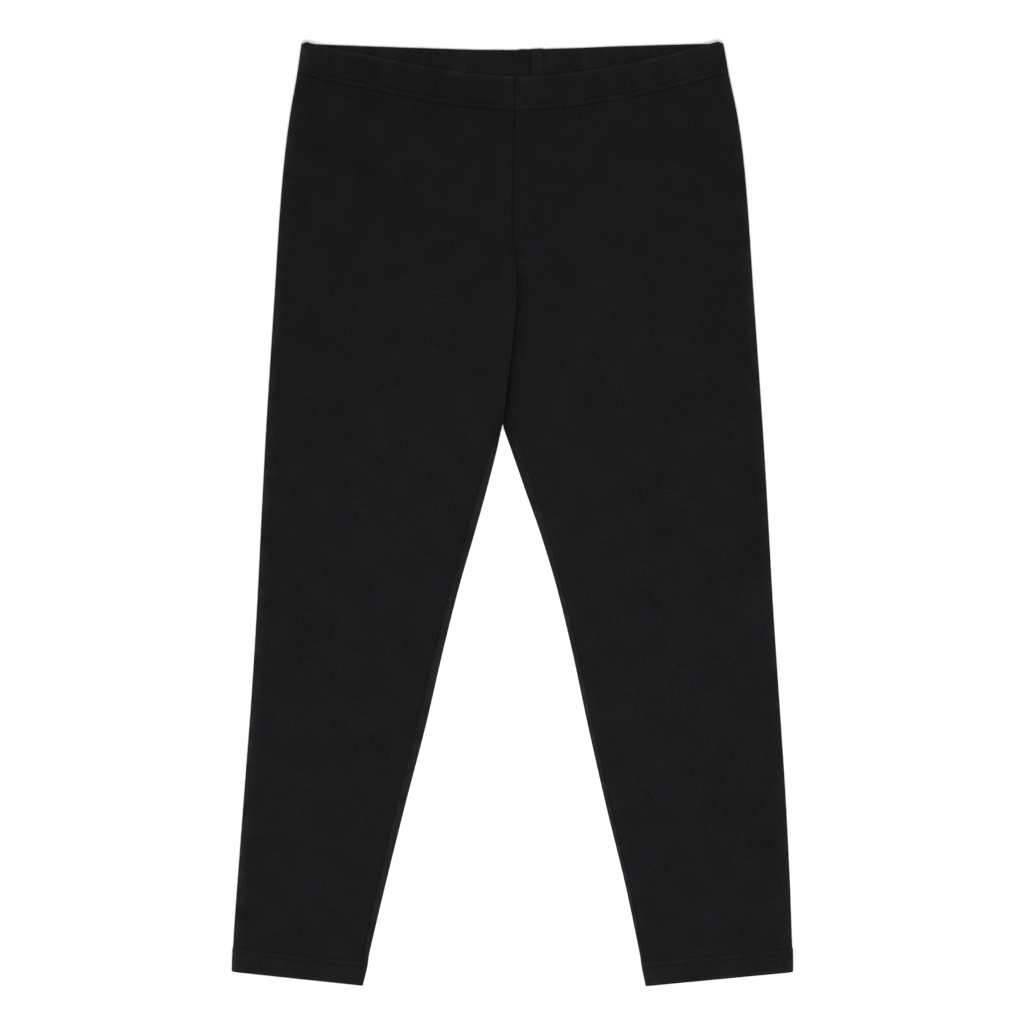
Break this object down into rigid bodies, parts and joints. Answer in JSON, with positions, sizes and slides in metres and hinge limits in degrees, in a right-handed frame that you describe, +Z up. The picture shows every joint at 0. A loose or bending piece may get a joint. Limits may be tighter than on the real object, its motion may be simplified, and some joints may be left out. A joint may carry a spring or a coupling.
{
  "type": "leggings",
  "caption": "Cropped black jersey leggings laid flat with the front up: leg panels with no side seams, a turned elastic waist casing and turned hems.",
  "frame": {"origin": "centre of the bounding box at its base, on the table the garment lies on", "axes": "+Z up from the table, out of the front of the garment; +Y from the hems to the waist; +X to the wearer's left"},
  "size_m": [0.5329, 0.8961, 0.0063],
  "materials": {
    "black_jersey": "brushed cotton jersey, charcoal black, matt with a short nap",
    "black_thread": "polyester sewing thread, black, slight sheen"
  },
  "bodies": {
    "root": {"waist_casing_right": "black_jersey", "waist_casing_left": "black_jersey", "leg_panel_right": "black_jersey", "leg_panel_left": "black_jersey", "hem_right": "black_jersey", "hem_left": "black_jersey"}
  },
  "joints": []
}
